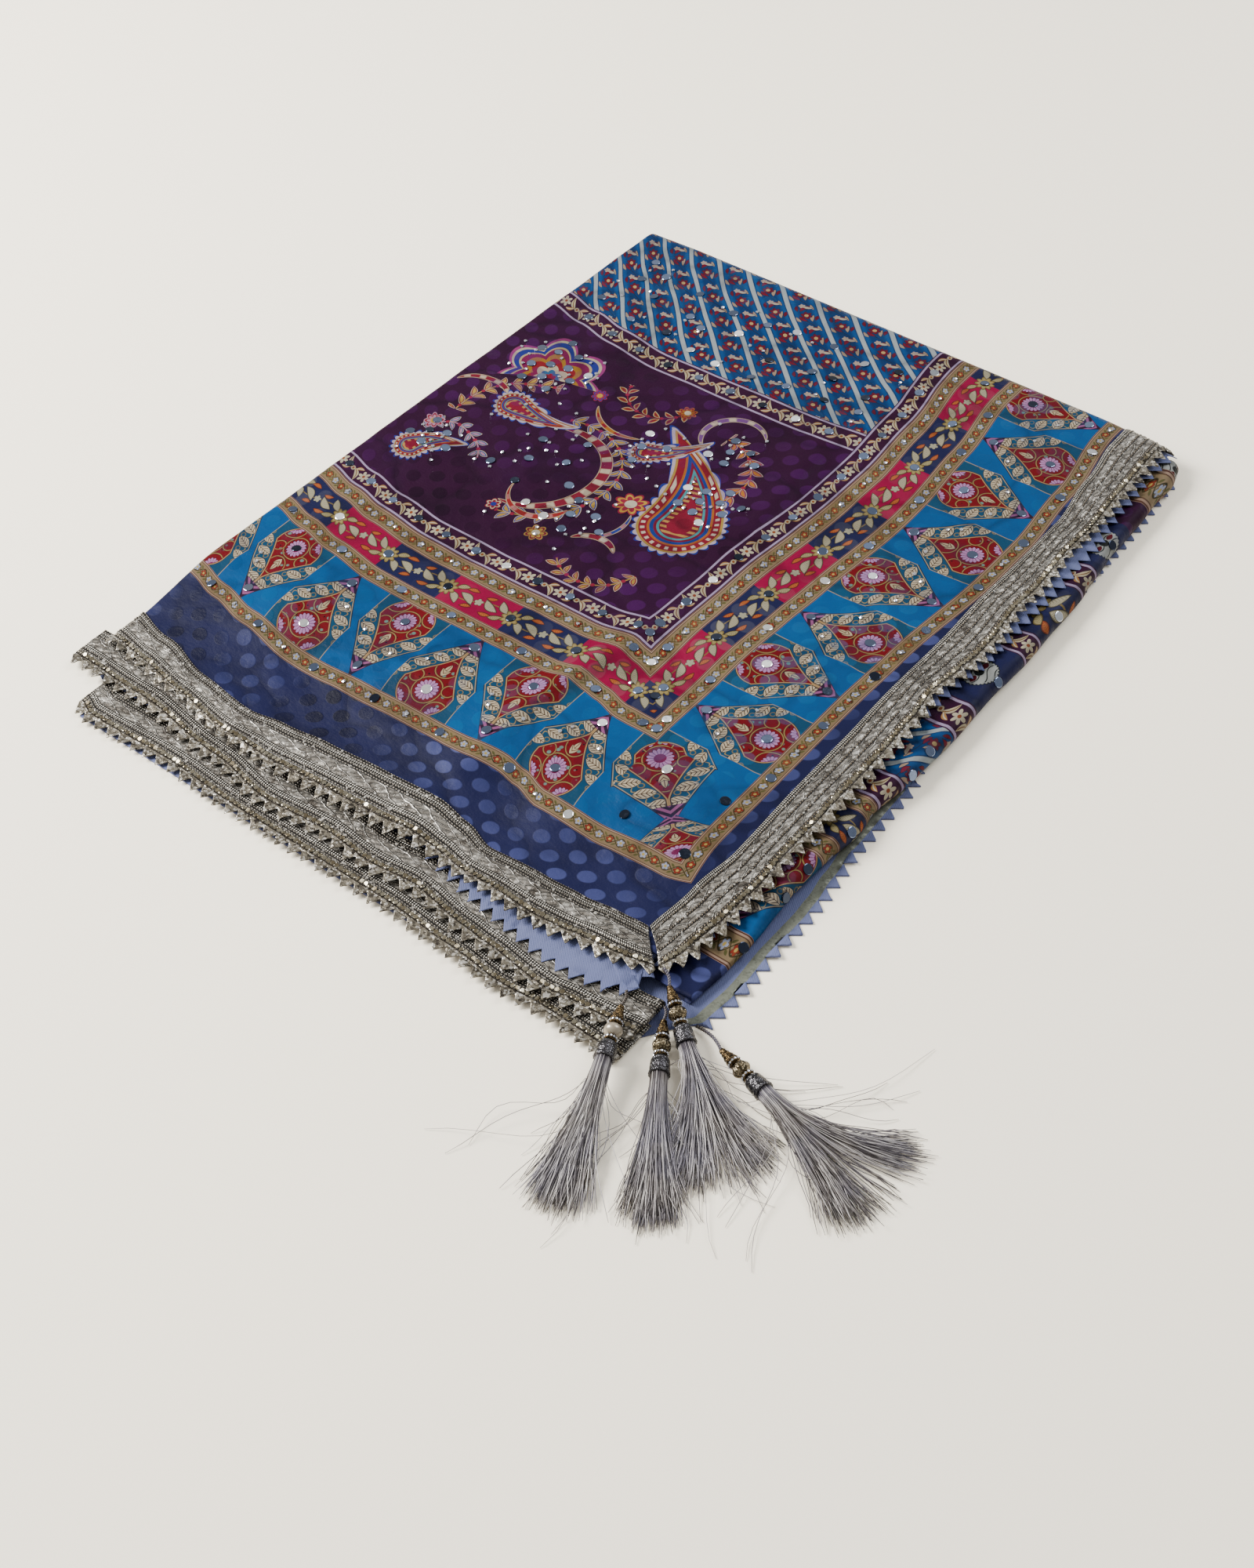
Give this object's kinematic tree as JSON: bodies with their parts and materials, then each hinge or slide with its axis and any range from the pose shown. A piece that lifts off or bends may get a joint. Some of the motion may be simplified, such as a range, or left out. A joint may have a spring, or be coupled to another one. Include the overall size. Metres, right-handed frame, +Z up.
{
  "type": "dupatta stole",
  "caption": "Folded dupatta stole of printed satin with metallic gota lace on its edges and its tassels spread at one corner, lying flat.",
  "frame": {"origin": "middle of the folded rectangle, on the face that the stole rests on", "axes": "+X towards the laced right side, +Y towards the big back fold, +Z up"},
  "size_m": [0.6475, 0.7231, 0.0242],
  "materials": {
    "print_satin": "printed jacquard satin, soft sheen",
    "reverse_satin": "lavender reverse, dull satin",
    "gota_lace": "metallic braid, sequins and crushed foil",
    "bronze_cone": "antique bronze filigree",
    "bead_metal": "pearly and silver beads with small faceted stones",
    "silver_cap": "silver filigree",
    "tassel_thread": "silver-taupe silky thread"
  },
  "bodies": {
    "root": {"bottom_layer": "reverse_satin", "inner_folds": "reverse_satin", "top_layer": "print_satin", "top_end_trim": "gota_lace", "top_side_trim": "gota_lace", "second_layer": "reverse_satin", "rolled_layer": "print_satin", "third_end_trim": "gota_lace", "fourth_end_trim": "gota_lace", "tassel_1_string": "tassel_thread", "tassel_1_cone": "bronze_cone", "tassel_1_beads": "bead_metal", "tassel_1_cap": "silver_cap", "tassel_1_threads": "tassel_thread", "tassel_2_string": "tassel_thread", "tassel_2_cone": "bronze_cone", "tassel_2_beads": "bead_metal", "tassel_2_cap": "silver_cap", "tassel_2_threads": "tassel_thread", "tassel_3_string": "tassel_thread", "tassel_3_cone": "bronze_cone", "tassel_3_beads": "bead_metal", "tassel_3_cap": "silver_cap", "tassel_3_threads": "tassel_thread", "tassel_4_string": "tassel_thread", "tassel_4_cone": "bronze_cone", "tassel_4_beads": "bead_metal", "tassel_4_cap": "silver_cap", "tassel_4_threads": "tassel_thread"}
  },
  "joints": []
}
